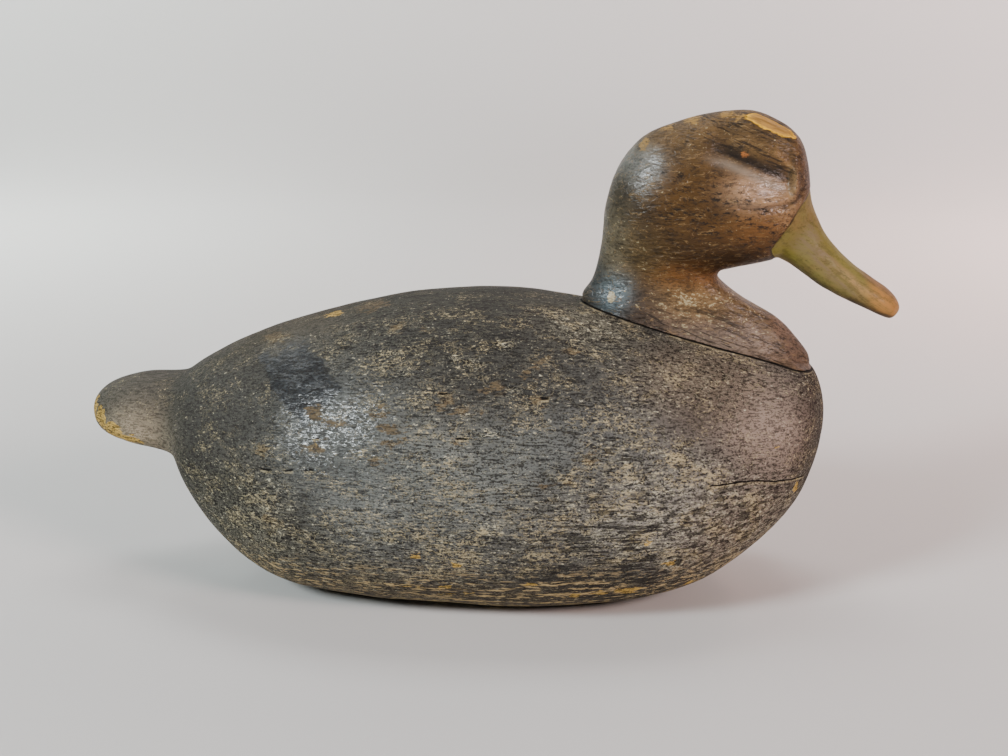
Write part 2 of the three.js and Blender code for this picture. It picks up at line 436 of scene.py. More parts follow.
def carve_head(head):
    """Cuts the face, the root of the bill, the neck base and the crown into the head block."""
    cut_flat(head, seam_point - seam_normal * SPARE_BELOW_SEAM * MM, -seam_normal)
    apply(head, "REMESH", mode="VOXEL", voxel_size=HEAD_GRAIN_SIZE * MM)
    place = points(head)
    facing = outward(head)

    # The brow is gouged in above the cheek, which keeps a rounded upper edge.
    side = np.sign(place[:, 1]) * rise(4, 10, np.abs(place[:, 1]))
    along = rise(96, 116, place[:, 0]) * (1 - rise(141, 145.5, place[:, 0]))
    place[:, 1] -= side * along * read_off(above_brow(place), GOUGE)

    # A lip runs round the hollow, with a crease on its outside.
    crease = hump(off_line(place, LIP_CREASE), CREASE_WIDTH) * CREASE_DEPTH
    lip = hump(off_line(place, LIP), LIP_WIDTH) * LIP_HEIGHT - crease
    place += facing * (lip * rise(6, 12, np.abs(place[:, 1])))[:, None]

    # The bill stands a little below the face along the line where it begins.
    into_bill = past_bill_root(place)
    on_bill = above_bill_line(place) & (into_bill > -6)
    step = np.where(on_bill, rise(-0.6, 0.9, into_bill) * (1 - rise(8, 22, into_bill)), 0)
    groove = np.where(on_bill, hump(into_bill, 0.8), 0)
    place -= facing * (BILL_SET_IN * step + BILL_SET_IN * groove)[:, None]

    # A soft ridge parts the front of the neck base from its sides.
    ridge_x = read_off(place[:, 2], NECK_RIDGE_X)
    ridge_y = read_off(place[:, 2], NECK_RIDGE_Y)
    off_ridge = np.hypot(place[:, 0] - ridge_x, np.abs(place[:, 1]) - ridge_y)
    low_neck = 1 - rise(138, 148, place[:, 2])
    swell = RIDGE_HEIGHT * hump(off_ridge, RIDGE_WIDTH) - RIDGE_HOLLOW * hump(off_ridge - 7, 3)
    place += facing * (low_neck * swell)[:, None]

    # The crown has a flat shaved on its right front, and the carving is slightly uneven all over.
    shaved = np.array(SHAVED_NORMAL)
    over_flat = np.maximum((place - np.array(SHAVED_MIDDLE)) @ shaved + SHAVED_DEPTH, 0)
    place -= over_flat[:, None] * shaved * rise(100, 112, place[:, 0])[:, None]
    put_points(head, place)
    place += outward(head) * (hollows(place, 16, 5) * 0.14 + hollows(place, 5, 2) * 0.05)[:, None]
    put_points(head, place)


def wear_seam(piece):
    """Wears the edges of the seam back a little."""
    place = points(piece)
    height = off_seam(place)
    rim = (height > -NEAR_SEAM) & (height < SEAM_GAP + NEAR_SEAM)
    facing = outward(piece)
    away = facing - np.outer(facing @ np.array(seam_normal), np.array(seam_normal))
    away /= np.maximum(np.linalg.norm(away, axis=1), 1e-6)[:, None]
    place[rim] -= SEAM_WEAR * away[rim]
    put_points(piece, place)


body, head = block_out()
carve_body(body)
carve_head(head)
cut_flat(body, seam_point, seam_normal)
cut_flat(head, seam_point + seam_normal * SEAM_GAP * MM, -seam_normal)
for piece in (body, head):
    wear_seam(piece)
    take(piece)
    bpy.ops.object.shade_smooth()

# Where the colour differs: mostly paint, and in some zones painted sheen, highlight or shade. Each zone has
# a middle, a reach along X, Y and Z, a colour and a share of pale flecks. Both sides of the bird are alike.
# Beside a zone, which counts as 1 at its middle, the plain coat counts this much everywhere.
COAT_SHARE = 0.25
BODY_COAT = (0.075, 0.075, 0.066)
BODY_FLECKS = 0.4
BODY_ZONES = [
    ((-170, 0, 92), (26, 40, 30), (0.072, 0.066, 0.053), 0.0),
    ((-168, 34, 76), (16, 18, 13), (0.45, 0.37, 0.255), 0.1),
    ((-125, 45, 90), (26, 40, 30), (0.045, 0.044, 0.04), 0.1),
    ((-125, 45, 50), (30, 50, 22), (0.06, 0.055, 0.045), 0.55),
    ((-105, 60, 46), (24, 40, 24), (0.085, 0.08, 0.064), 0.65),
    ((-100, 0, 128), (40, 26, 16), (0.06, 0.049, 0.031), 0.05),
    ((-60, 76, 92), (26, 30, 24), (0.085, 0.094, 0.091), 0.15),
    # Lighter grey low on the flank: grey paint with painted sheen below the highlight.
    ((-20, 84, 72), (36, 30, 22), (0.17, 0.185, 0.173), 0.45),
    ((10, 84, 45), (50, 40, 16), (0.085, 0.084, 0.078), 0.6),
    ((0, 70, 14), (110, 60, 12), (0.1, 0.08, 0.056), 0.4),
    ((50, 80, 26), (40, 40, 16), (0.02, 0.018, 0.016), 0.1),
    ((10, 45, 137), (42, 26, 14), (0.03, 0.03, 0.027), 0.25),
    # Blue-grey on the mid flank: painted sheen.
    ((35, 80, 92), (26, 26, 16), (0.125, 0.139, 0.132), 0.35),
    ((20, 65, 118), (36, 26, 16), (0.042, 0.042, 0.038), 0.28),
    ((0, 0, 148), (70, 24, 14), (0.027, 0.027, 0.021), 0.05),
    ((50, 28, 140), (16, 14, 9), (0.12, 0.11, 0.08), 0.95),
    ((60, 75, 95), (30, 30, 24), (0.08, 0.082, 0.078), 0.35),
    ((80, 76, 62), (34, 40, 24), (0.245, 0.235, 0.207), 0.95),
    ((105, 45, 115), (26, 24, 14), (0.17, 0.135, 0.095), 0.5),
    ((100, 60, 103), (14, 24, 9), (0.095, 0.078, 0.068), 0.05),
    # Pale pinkish grey on the breast: painted highlight over the grey paint.
    ((135, 46, 97), (20, 26, 20), (0.3, 0.225, 0.18), 0.15),
    ((163, 10, 85), (13, 34, 38), (0.014, 0.007, 0.004), 0.5),
    ((122, 50, 45), (26, 40, 22), (0.215, 0.168, 0.126), 0.9),
]

# Where the dark coat still shines: middle and reach.
BODY_GLOSS = [
    ((-64, 72, 100), (30, 40, 20)),
    ((-45, 82, 72), (36, 40, 18)),
    ((-88, 45, 118), (16, 30, 10)),
]

# Chips down to the bare wood on the bird's right: middle, then half length along X and half height.
BARE_SPOTS = [
    ((82, -75, 49), 2.4, 1.3),
    ((92, -67, 36), 3.6, 1.8),
    ((73, -63, 20), 7.5, 2.4),
    ((62, -65, 19), 5.8, 1.3),
    ((102, -47, 18), 3.4, 1.6),
    ((150, -38, 65), 1.6, 2.8),
    ((-24, -81, 41), 2.3, 1.4),
    ((-5, -81, 37), 2.8, 1.2),
    ((-12, -72, 22), 4.3, 1.2),
    ((-27, -71, 21), 3, 0.9),
    ((-4, -68, 17), 4.3, 0.8),
    ((29, -75, 27), 2.3, 1.2),
    ((49, -66, 18), 2.4, 1),
    ((-69, -75, 93), 2.2, 0.8),
    ((-74, -6, 136), 5.5, 3),
    ((139, -47, 88), 1.1, 0.8),
]

# Places where the dark coat has gone but an old brown one is left.
BROWN_SPOTS = [
    ((-71, -68, 104), 4.7, 3.8),
    ((-62, -72, 101), 4.9, 1.8),
    ((-69, -75, 93), 3.8, 1.6),
    ((-73, -75, 89), 4, 1.8),
    ((-40, -73, 107), 5.6, 2.3),
    ((-35, -77, 100), 6.5, 3.2),
    ((-33, -80, 95), 5.5, 2.2),
    ((-12, -72, 113), 5, 3.8),
    ((-3, -80, 97), 4, 1.8),
    ((-24, -42, 137), 1.9, 1.6),
    ((-41, -81, 86), 3.3, 2.3),
    ((-38, -37, 137), 4, 2.4),
    ((-3, -75, 109), 6.3, 2.3),
    ((9, -69, 118), 6.3, 2),
    ((33, -69, 114), 5.4, 1.6),
    ((25, -61, 124), 4.1, 2.7),
    ((31, -56, 127), 3.7, 2.3),
    ((45, -46, 131), 4.2, 2.6),
    ((-17, -84, 52), 2.3, 1.6),
    ((-1, -83, 46), 1.8, 1.4),
    ((-97, -68, 86), 3.2, 2.8),
    ((35, -83, 78), 5.3, 1.4),
    ((-3, -85, 71), 1.8, 1.2),
    ((55, -78, 89), 5.4, 2.7),
    ((44, -82, 80), 3.1, 1.8),
    ((130, -51, 52), 2.7, 2),
    ((-93, -72, 53), 4.6, 2.7),
    ((-102, -16, 126), 9, 2.5),
    ((-56, -8, 141), 10, 3),
]

# Clusters of pale flecks.
PALE_SPOTS = [
    ((-29, -62, 123), 2.2, 1.4),
    ((-7, -57, 129), 2.8, 2),
    ((-37, -54, 128), 3.9, 1.9),
    ((1, -60, 127), 3.6, 1.4),
    ((-8, -83, 88), 2.7, 2.2),
    ((18, -68, 117), 2.7, 1.4),
    ((14, -50, 134), 3.7, 1.9),
    ((9, -79, 100), 3.6, 1.2),
    ((70, -76, 87), 2.2, 2.2),
    ((73, -77, 79), 4.6, 4.6),
    ((93, -69, 88), 4.8, 2.7),
    ((104, -66, 84), 4, 1.6),
    ((68, -76, 40), 3, 3),
    ((110, -66, 71), 2.4, 1.6),
    ((-36, -82, 49), 2.8, 1.6),
    ((14, -84, 59), 1.5, 1.5),
    ((8, -84, 56), 5.4, 2),
    ((-10, -83, 49), 3.7, 2.1),
    ((92, -68, 37), 5, 4.5),
]

# Checks and cracks in the wood, each a line of (x, z).
CHECKS = [
    [(108, 74.5), (120, 73.7), (132, 72.7), (148, 70), (155, 69)],
    [(-98, 77.2), (-91, 78)],
    [(-86, 78.5), (-80, 79.2)],
    [(-76, 79.6), (-70, 80)],
    [(-6, 98.2), (0.5, 98.4)],
    [(31, 114.3), (36, 114)],
    [(-15, 116), (-9, 116)],
    [(-72, 93.8), (-67, 94.3)],
    [(-98.5, 85.2), (-95, 85.2)],
]

# The outline of a darker patch on the right flank, as (x, z).
DARK_PATCH = [(-104, 120), (-83, 127), (-73, 124), (-62, 115), (-76, 100), (-92, 110)]

# The edge of the tail is worn through.
TAIL_WEAR = [
    ((-195, -12, 86), 5, 7),
    ((-190, -22, 84), 5, 6),
    ((-183, -27, 79), 8, 4.5),
    ((-174, -30, 76), 8, 3),
]

HEAD_COAT = (0.072, 0.038, 0.011)
HEAD_FLECKS = 0.2
HEAD_ZONES = [
    # Light grey at the back of the cheek: painted highlight.
    ((73, 15, 211), (9, 12, 8), (0.2, 0.21, 0.195), 0.1),
    # Pale warm brown on the cheek below the brow hollow: painted highlight.
    ((127, 24, 200), (13, 12, 7), (0.46, 0.29, 0.168), 0.1),
    ((65, 16, 198), (12, 14, 18), (0.036, 0.034, 0.024), 0.15),
    ((100, 22, 190), (26, 12, 16), (0.062, 0.031, 0.008), 0.05),
    ((132, 22, 182), (18, 12, 9), (0.16, 0.07, 0.018), 0.1),
    # Dark brown under the cheek: painted shade.
    ((98, 20, 174), (18, 12, 8), (0.028, 0.015, 0.006), 0.1),
    ((110, 8, 230), (34, 16, 14), (0.105, 0.067, 0.029), 0.25),
    ((150, 8, 208), (7, 12, 16), (0.085, 0.045, 0.022), 0.1),
    ((62, 10, 175), (8, 11, 17), (0.15, 0.13, 0.085), 0.4),
    ((75, 18, 170), (12, 10, 12), (0.085, 0.06, 0.026), 0.5),
    # Near-black along the underside of the jaw: painted shade.
    ((118, 18, 166), (28, 12, 9), (0.008, 0.004, 0.002), 0.0),
    # Blue-grey on the nape: blue-black paint with painted sheen.
    ((63, 12, 150), (8, 12, 9), (0.074, 0.136, 0.17), 0.05),
    ((53, 4, 163), (5, 10, 22), (0.03, 0.038, 0.042), 0.1),
    ((100, 16, 160), (16, 12, 7), (0.17, 0.07, 0.016), 0.3),
    ((98, 16, 147), (18, 12, 8), (0.215, 0.135, 0.06), 0.8),
    ((122, 10, 146), (14, 10, 8), (0.14, 0.09, 0.046), 0.5),
    ((80, 18, 138), (14, 8, 8), (0.07, 0.055, 0.048), 0.3),
    ((79, 16, 148), (8, 10, 6), (0.022, 0.021, 0.022), 0.2),
    ((143, 18, 190), (7, 8, 9), (0.27, 0.155, 0.07), 0.5),
    ((115, 17, 129), (26, 8, 9), (0.225, 0.173, 0.137), 0.5),
    ((148, 6, 126), (8, 8, 18), (0.15, 0.098, 0.07), 0.1),
]
HEAD_GLOSS = [((73, 16, 211), (14, 16, 13)), ((126, 22, 200), (17, 14, 8)), ((67, 12, 150), (7, 12, 8))]

# The bare wood of the shaved crown, a long oval: middle, half length and half width, the way it slopes,
# and the height it lies above. Ochre spots run back from it.
CROWN_FLAT = ((133.6, -7.3, 230), 13, 4)
CROWN_SLOPE = (0.9, 0, -0.44)
CROWN_FROM = 218
CROWN_OCHRE = [
    ((116, -5, 234), 6, 3),
    ((97, -2, 232), 8, 2),
    ((86, -3, 228), 5, 2),
    ((75, -7, 220), 3, 4),
]

# One reddish dot on the right brow, as (x, z), and one pale spot on the nape.
EYE_DOT = (121.2, 217.2)
EYE_DOT_RADIUS = 1.9
NAPE_SPOT = ((61.5, -11.4, 148.2), 1.3, 2.3)

# A mark is counted in millimetres inside it, and no further than this outside it.
OUTSIDE = -6.0

# The painted highlight on the lip and the painted shade in its crease lie only further out than this from
# the middle of the head.
CHEEK_SIDE = 8


def mirrored(place):
    """The vertices as on the bird's left, for what is alike on both sides."""
    return place * [1, 0, 1] + np.abs(place) * [0, 1, 0]


def lay_zones(place, coat, flecks, zones):
    """The colour and the share of flecks at each vertex, each zone fading into the next."""
    place = mirrored(place)
    total = np.full(len(place), COAT_SHARE)
    colour = np.outer(total, coat)
    share = total * flecks
    for middle, reach, zone_colour, zone_flecks in zones:
        off = (place - middle) / np.array(reach)
        weight = np.exp(-(off**2).sum(1))
        total += weight
        colour += np.outer(weight, zone_colour)
        share += weight * zone_flecks
    return colour / total[:, None], share / total


def glossy(place, zones):
    """How much each vertex shines, from 0 to 1."""
    place = mirrored(place)
    near = [hump(np.linalg.norm((place - middle) / reach, axis=1), 1) for middle, reach in zones]
    return np.minimum(sum(near), 1)


def worn(place, chips):
    """Millimetres inside the nearest chip, below zero outside."""
    inside = np.full(len(place), OUTSIDE)
    for middle, length, height in chips:
        off = (place - middle) / np.array([length, max(length, height), height])
        depth = min(length, height) * (1 - np.sqrt((off**2).sum(1)))
        inside = np.maximum(inside, depth)
    return inside


def crossing(place, lines):
    """Height above the nearest check, and how far inside its ends, on the bird's right."""
    across = np.full(len(place), -OUTSIDE)
    within = np.full(len(place), OUTSIDE)
    for line in lines:
        height = place[:, 2] - read_off(place[:, 0], line)
        inside = np.minimum(place[:, 0] - line[0][0], line[-1][0] - place[:, 0])
        closer = np.abs(height) - np.minimum(inside, 0) < np.abs(across) - np.minimum(within, 0)
        near = closer & (place[:, 1] < 0)
        across = np.where(near, height, across)
        within = np.where(near, inside, within)
    return np.clip(across, OUTSIDE, -OUTSIDE), np.clip(within, OUTSIDE, -OUTSIDE)


def inside_outline(place, corners):
    """Millimetres inside a convex outline of (x, z), below zero outside."""
    depth = np.full(len(place), 30.0)
    for (x0, z0), (x1, z1) in zip(corners, corners[1:] + corners[:1]):
        length = math.hypot(x1 - x0, z1 - z0)
        off = ((x1 - x0) * (z0 - place[:, 2]) - (x0 - place[:, 0]) * (z1 - z0)) / length
        depth = np.minimum(depth, off)
    return depth


def mark_body(body):
    """Keeps at each vertex of the body what its paint reads."""
    place = points(body)
    colour, flecks = lay_zones(place, BODY_COAT, BODY_FLECKS, BODY_ZONES)
    tint(body, "coat", colour)
    mark(body, "flecks", flecks + rise(-2, 1.5, worn(place, PALE_SPOTS)) * 0.45)
    mark(body, "bare", np.maximum(worn(place, BARE_SPOTS), worn(place, TAIL_WEAR)))
    mark(body, "brown", worn(place, BROWN_SPOTS))
    across, within = crossing(place, CHECKS)
    mark(body, "check", across)
    mark(body, "check_length", within)
    patch = np.clip(inside_outline(place, DARK_PATCH), OUTSIDE, 12)
    mark(body, "dark_patch", np.where(place[:, 1] < 0, patch, OUTSIDE))
    mark(body, "seam", np.clip(-off_seam(place), -1, 8))
    mark(body, "gloss", glossy(place, BODY_GLOSS))
    mark(body, "rows", rise(10, 60, place[:, 0]) * (1 - rise(60, 95, place[:, 2])))
    mark(body, "low", 1 - rise(20, 40, place[:, 2]))


def mark_head(head):
    """Keeps at each vertex of the head what its paint reads."""
    place = points(head)
    colour, flecks = lay_zones(place, HEAD_COAT, HEAD_FLECKS, HEAD_ZONES)
    tint(head, "coat", colour)
    mark(head, "flecks", flecks + rise(-1, 0.6, worn(place, [NAPE_SPOT])) * 2.5)

    middle, length, width = CROWN_FLAT
    off = place - np.array(middle)
    stretch = np.hypot((off @ np.array(CROWN_SLOPE)) / length, off[:, 1] / width)
    mark(head, "bare", np.where(place[:, 2] > CROWN_FROM, width * (1 - stretch), OUTSIDE))
    mark(head, "ochre", worn(place, CROWN_OCHRE))
    dot = EYE_DOT_RADIUS - np.hypot(place[:, 0] - EYE_DOT[0], place[:, 2] - EYE_DOT[1])
    mark(head, "dot", np.where(place[:, 1] < 0, np.maximum(dot, OUTSIDE), OUTSIDE))

    # Millimetres from the bill's root, and how far up the bill's side, from 0 at the bottom to 1 on top.
    bill = np.where(above_bill_line(place), past_bill_root(place), OUTSIDE)
    mark(head, "bill", np.clip(bill, OUTSIDE, 60))
    high = read_off(place[:, 0], [rib[0] for rib in BILL_RIBS])
    low = read_off(place[:, 0], [rib[1] for rib in BILL_RIBS])
    mark(head, "bill_share", np.clip((place[:, 2] - low) / (high - low), 0, 1))

    # The painted shadow under the brow, the painted sheen below it, the painted highlight on the lip round
    # the hollow and the painted shade in its crease.
    above = above_brow(place)
    brow = rise(98, 116, place[:, 0]) * (1 - rise(137.5, 143.5, place[:, 0]))
    mark(head, "shadow", brow * rise(-2.2, -0.3, above) * (1 - rise(1.5, 6.5, above)))
    mark(head, "shine", brow * hump(above + 4.6, 2.2))
    on_side = np.abs(place[:, 1]) > CHEEK_SIDE
    mark(head, "crease", hump(off_line(place, LIP_CREASE), 1) * on_side)
    mark(head, "lip", hump(off_line(place, LIP), 1.2) * on_side)

    # Rows of dashes lie on the cheek, and slanting dark streaks on the crown and the neck base.
    cheek = rise(-46, -36, above) * (1 - rise(-14, -6, above)) * rise(72, 88, place[:, 0])
    mark(head, "dashes", cheek * (1 - rise(140, 148, place[:, 0])) * (bill < 0))
    crown = rise(-4, 2, above) * rise(84, 100, place[:, 0])
    mark(head, "slant", np.maximum(crown, 1 - rise(138, 152, place[:, 2])))
    mark(head, "seam", np.clip(off_seam(place), -1, 8))
    mark(head, "gloss", glossy(place, HEAD_GLOSS))


mark_body(body)
mark_head(head)


# Finishes. A finish is laid out from the wood up, with small functions for the nodes that repeat.
def new_finish(name):
    finish = bpy.data.materials.new(name)
    finish.use_nodes = True
    return finish, finish.node_tree, finish.node_tree.nodes["Principled BSDF"]


def put(tree, kind, *inputs, **settings):
    """Adds a node; each input is a number, a colour or the socket that feeds it."""
    node = tree.nodes.new("ShaderNode" + kind)
    for name, value in settings.items():
        setattr(node, name, value)
    for i, value in enumerate(inputs):
        if isinstance(value, bpy.types.NodeSocket):
            tree.links.new(value, node.inputs[i])
        elif value is not None:
            node.inputs[i].default_value = value
    return node


def speckle(tree, stretch, detail=3, roughness=0.6, distortion=0, turn=0):
    """Noise between 0 and 1 with so many grains to the metre along X, Y and Z, all turned about Y."""
    where = put(tree, "TexCoord").outputs["Object"]
    size = tuple(1 / number for number in stretch)
    where = put(tree, "Mapping", where, None, (0, turn, 0), size, vector_type="TEXTURE").outputs[0]
    node = put(tree, "TexNoise", where)
    node.inputs["Scale"].default_value = 1
    node.inputs["Detail"].default_value = detail
    node.inputs["Roughness"].default_value = roughness
    node.inputs["Distortion"].default_value = distortion
    return node.outputs[0]


def kept(tree, name):
    """A number kept at the vertices."""
    return put(tree, "Attribute", attribute_name=name).outputs["Fac"]


def kept_colour(tree, name):
    """A colour kept at the vertices."""
    return put(tree, "Attribute", attribute_name=name).outputs["Color"]


def maths(tree, operation, a, b=0.0):
    return put(tree, "Math", a, b, operation=operation).outputs[0]


def plus(tree, a, b):
    return maths(tree, "ADD", a, b)


def minus(tree, a, b):
    return maths(tree, "SUBTRACT", a, b)


def times(tree, a, b):
    return maths(tree, "MULTIPLY", a, b)


def between(tree, value, low, high, to_low=0.0, to_high=1.0):
    """Turns low..high into to_low..to_high with a soft step."""
    return put(
        tree, "MapRange", value, low, high, to_low, to_high, interpolation_type="SMOOTHSTEP"
    ).outputs[0]


def over(tree, share, below, above):
    """Lays one colour over another."""
    node = put(tree, "Mix", data_type="RGBA")
    for socket, value in ((node.inputs[0], share), (node.inputs[6], below), (node.inputs[7], above)):
        if isinstance(value, bpy.types.NodeSocket):
            tree.links.new(value, socket)
        else:
            socket.default_value = value if isinstance(value, float) else (*value, 1)
    return node.outputs[2]


def strengthen(tree, colour, amount):
    """Lightens or darkens a colour by a factor."""
    node = put(tree, "VectorMath", colour, operation="SCALE")
    tree.links.new(amount, node.inputs["Scale"])
    return node.outputs[0]


def ridge(tree, value, width):
    """1 where a noise crosses its middle, falling to 0 at width either side."""
    return between(tree, maths(tree, "ABSOLUTE", minus(tree, value, 0.5)), 0, width, 1, 0)


def mixed(tree, a, b, share):
    """A mix of two noises."""
    return plus(tree, times(tree, a, 1 - share), times(tree, b, share))


def swing(tree, value, reach):
    """A noise turned into a shift either way, reach wide from end to end."""
    return times(tree, minus(tree, value, 0.5), reach)


def relief(tree, height, strength, distance):
    """A bumpy surface, its full height given in millimetres."""
    node = put(tree, "Bump")
    node.inputs["Strength"].default_value = strength
    node.inputs["Distance"].default_value = distance * MM
    tree.links.new(height, node.inputs["Height"])
    return node.outputs[0]


def paint(piece, finish):
    """Gives a piece its one finish."""
    piece.data.materials.clear()
    piece.data.materials.append(finish)


# Colours of the wood and of the coats over it.
BARE_WOOD = (0.5, 0.33, 0.085)
OLD_WOOD = (0.125, 0.094, 0.052)
STREAKED_WOOD = (0.54, 0.4, 0.19)
OCHRE = (0.34, 0.2, 0.05)
CREAM = (0.52, 0.5, 0.36)
TAN = (0.42, 0.36, 0.21)
# Near-black, for soot, dark paint and joints, and for the painted shadow under the brow and the painted
# shade in the lip's crease.
SOOT_AND_SHADE = (0.008, 0.007, 0.006)
CHECK_DARK = (0.006, 0.005, 0.004)
PATCH_COAT = (0.02, 0.023, 0.027)
PATCH_RIB_GLINTS = (0.12, 0.13, 0.135)
WRINKLE_AND_GLINT = (0.24, 0.155, 0.065)
BROW_SHEEN = (0.26, 0.215, 0.165)
# A light golden brown for the painted highlight along the lip's crest.
LIP_HIGHLIGHT = (0.28, 0.16, 0.065)
EYE_RED = (0.3, 0.11, 0.03)
CROWN_EDGE = (0.75, 0.42, 0.03)
CROWN_WOOD = (0.37, 0.205, 0.052)
OLIVE_GREEN = (0.174, 0.146, 0.041)
OLIVE_BROWN = (0.2, 0.136, 0.046)

# The wear of the bill, and painted shade along its lower edge, in bands: the shares of its height and the
# distances from its root that a band lies between, the pattern it follows, where that pattern starts and
# ends, the band's strength there, and its colour. Both edges of a band are soft.
SOFT_SHARE = 0.1
SOFT_DISTANCE = 4
BILL_WEAR_AND_SHADE = [
    ((0.1, 0.5), (-9, 12), "clouds", (0.4, 0.6), (0.1, 0.7), (0.18, 0.172, 0.024)),
    ((0.7, 1.2), (18, 42), "clouds", (0.38, 0.55), (0.2, 0.6), (0.165, 0.155, 0.03)),
    ((0.3, 0.75), (8, 40), "rubbed", (0.4, 0.6), (0.1, 0.75), (0.165, 0.117, 0.072)),
    ((0.45, 0.72), (29, 60), "rubbed", (0.44, 0.57), (0.1, 0.8), (0.33, 0.205, 0.068)),
    ((-0.2, 1.2), (44, 70), "rubbed", (0.38, 0.56), (0.3, 0.95), (0.35, 0.172, 0.048)),
    ((0.9, 1.2), (40, 70), "rubbed", (0.4, 0.6), (0.9, 0.5), (0.13, 0.07, 0.028)),
    # The last two bands darken the bill's lower edge: painted shade on its underside.
    ((-0.2, 0.07), (5, 70), "rubbed", (0.4, 0.6), (0.95, 0.75), (0.035, 0.028, 0.013)),
    ((-0.2, 0.19), (34, 70), "rubbed", (0.4, 0.6), (0.95, 0.75), (0.035, 0.025, 0.012)),
]


def body_finish():
    """Worn near-black paint over grey wood, with some painted sheen and glints."""
    finish, tree, shader = new_finish("body_paint")
    grit = speckle(tree, (950, 1050, 1400), 2, 0.7)
    grain = speckle(tree, (230, 650, 1100), 3, 0.6)
    mottle = speckle(tree, (430, 560, 800), 4, 0.7)
    worms = speckle(tree, (240, 340, 500), 3, 0.6, 0.8)
    flakes = speckle(tree, (150, 220, 330), 4, 0.65, 0.6)
    patches = speckle(tree, (60, 80, 110), 4, 0.65)
    clouds = speckle(tree, (24, 34, 40), 4, 0.65)
    long_grain = speckle(tree, (45, 350, 560), 3, 0.55)
    flecks = kept(tree, "flecks")
    ragged = swing(tree, flakes, 10)
    fine = mixed(tree, grit, grain, 0.5)

    # The coat by zones, the dark patch with painted glints along its ribs, the old brown coat, and dark
    # pores.
    coat = strengthen(tree, kept_colour(tree, "coat"), between(tree, clouds, 0.3, 0.7, 0.8, 1.2))
    torn_edge = plus(tree, ragged, swing(tree, clouds, 9))
    patch = between(tree, plus(tree, kept(tree, "dark_patch"), torn_edge), -2.2, 0.2)
    coat = over(tree, times(tree, patch, 0.88), coat, PATCH_COAT)
    # Lighter lines along the patch's ribs are painted glints.
    ribs = between(tree, mixed(tree, long_grain, grain, 0.35), 0.5, 0.56, 0, 0.35)
    coat = over(tree, times(tree, patch, ribs), coat, PATCH_RIB_GLINTS)
    brown = between(tree, plus(tree, kept(tree, "brown"), times(tree, ragged, 1.5)), 0, 1.2, 0, 0.9)
    brown = times(tree, brown, between(tree, grain, 0.4, 0.5, 0.35, 1))
    coat = over(tree, brown, coat, OLD_WOOD)
    pores = times(tree, between(tree, fine, 0.43, 0.53, 0.95, 0), between(tree, flecks, 0, 0.5, 0.5, 0.95))
    coat = over(tree, pores, coat, SOOT_AND_SHADE)

    # Pale flecks and threads of an older coat lie thickest where the zones say, less on the dark patch.
    density = plus(tree, flecks, minus(tree, swing(tree, patches, 2.4), patch))
    threads = times(tree, ridge(tree, worms, 0.03), between(tree, density, 0, 1.1, 0.05, 0.95))
    light = plus(tree, mixed(tree, fine, mottle, 0.5), times(tree, density, 0.1))
    fleck = between(tree, light, 0.598, 0.653, 0, 0.9)
    pale = over(tree, between(tree, patches, 0.46, 0.56), CREAM, TAN)
    coat = over(tree, maths(tree, "MAXIMUM", threads, fleck), coat, pale)

    # Soot fills the deep grain, most in rows low on the breast, and bare wood streaks the bottom.
    rows = times(tree, between(tree, long_grain, 0.42, 0.5, 0.75, 0), kept(tree, "rows"))
    rows = maths(tree, "MAXIMUM", rows, between(tree, long_grain, 0.33, 0.38, 0.7, 0))
    coat = over(tree, times(tree, rows, between(tree, flecks, 0, 0.4, 0.2, 1)), coat, SOOT_AND_SHADE)
    streaks = between(tree, mixed(tree, long_grain, grain, 0.5), 0.54, 0.58, 0, 0.95)
    coat = over(tree, times(tree, streaks, kept(tree, "low")), coat, STREAKED_WOOD)
    wood = strengthen(tree, BARE_WOOD, between(tree, fine, 0.42, 0.56, 0.2, 1.15))
    chip = between(tree, plus(tree, kept(tree, "bare"), ragged), 0, 0.5, 0, 0.95)
    coat = over(tree, chip, coat, wood)

    # A check is a dark line with a pale lip below it.
    height = plus(tree, kept(tree, "check"), swing(tree, patches, 3))
    ends = between(tree, kept(tree, "check_length"), 0, 1.5)
    lip = times(tree, between(tree, height, -2, -1), between(tree, height, -0.7, -0.3, 0.6, 0))
    lip = times(tree, times(tree, lip, ends), between(tree, fine, 0.44, 0.54, 0.2, 1))
    coat = over(tree, lip, coat, TAN)
    check = times(tree, between(tree, maths(tree, "ABSOLUTE", height), 0.16, 0.5, 1, 0), ends)
    coat = over(tree, check, coat, CHECK_DARK)

    # At the seam the edge is worn pale here and there, and the joint itself is dark.
    seam = kept(tree, "seam")
    edge = times(tree, between(tree, seam, 0.3, 0.6, 0.35, 0), between(tree, patches, 0.45, 0.6))
    coat = over(tree, edge, coat, TAN)
    coat = over(tree, between(tree, seam, 0.02, 0.15, 0.95, 0), coat, SOOT_AND_SHADE)
    tree.links.new(coat, shader.inputs["Base Color"])

    # The coat shines where it was handled and on the dark patch, but not where it has gone.
    gloss = kept(tree, "gloss")
    tree.links.new(minus(tree, 0.75, times(tree, gloss, 0.3)), shader.inputs["Roughness"])
    shine = times(tree, gloss, between(tree, mottle, 0.45, 0.55))
    shine = maths(tree, "MAXIMUM", shine, times(tree, patch, 0.3))
    shine = times(tree, shine, between(tree, brown, 0, 0.5, 1, 0))
    tree.links.new(shine, shader.inputs["Coat Weight"])
    shader.inputs["Coat Roughness"].default_value = 0.12
    shader.inputs["Specular IOR Level"].default_value = 0.12

